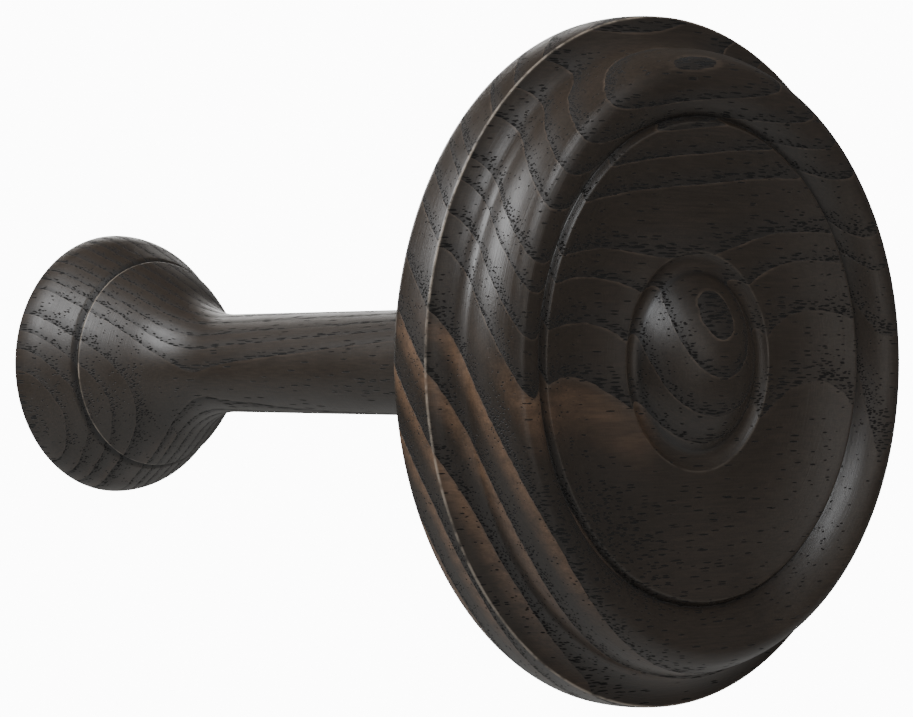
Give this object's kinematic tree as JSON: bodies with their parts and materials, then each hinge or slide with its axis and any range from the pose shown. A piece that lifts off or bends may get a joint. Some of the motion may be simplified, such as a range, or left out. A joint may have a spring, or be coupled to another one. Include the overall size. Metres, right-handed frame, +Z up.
{
  "type": "curtain holdback",
  "caption": "Turned wooden curtain holdback: a dished round rosette on a slim stem with a bell foot stands off the wall and holds a gathered curtain.",
  "frame": {"origin": "centre of the foot's back face, where the holdback meets the wall", "axes": "+Y along the turning axis into the wall, so the rosette is towards -Y; +Z up on the wall"},
  "size_m": [0.1006, 0.1612, 0.1006],
  "materials": {
    "stained_ash": "dark brown stain on open-grained ash, satin",
    "insert_brass": "turned brass, dull",
    "zinc_steel": "bright zinc plating"
  },
  "bodies": {
    "wall_fixing": {"wall_bolt": "zinc_steel"},
    "foot_carrier": {"foot_insert": "insert_brass"},
    "stem": {"stem": "stained_ash", "front_insert": "insert_brass"},
    "rosette_carrier": {"rosette_bolt": "zinc_steel"},
    "rosette": {"rosette": "stained_ash"}
  },
  "joints": [
    {"name": "foot_travel", "type": "slide", "parent": "wall_fixing", "child": "foot_carrier", "axis": [0, -1, 0], "range_m": [0, 0.01301]},
    {"name": "foot_turn", "type": "hinge", "parent": "foot_carrier", "child": "stem", "pos_m": [0, 0, 0], "axis": [0, -1, 0], "range_deg": [0, 4680]},
    {"name": "rosette_travel", "type": "slide", "parent": "stem", "child": "rosette_carrier", "axis": [0, -1, 0], "range_m": [0, 0.01301]},
    {"name": "rosette_turn", "type": "hinge", "parent": "rosette_carrier", "child": "rosette", "pos_m": [0, -0.1188, 0], "axis": [0, -1, 0], "range_deg": [0, 4680]}
  ],
  "couplings": [
    {"joint": "foot_travel", "follows": "foot_turn", "m_per_rad": 0.00015915},
    {"joint": "rosette_travel", "follows": "rosette_turn", "m_per_rad": 0.00015915}
  ]
}
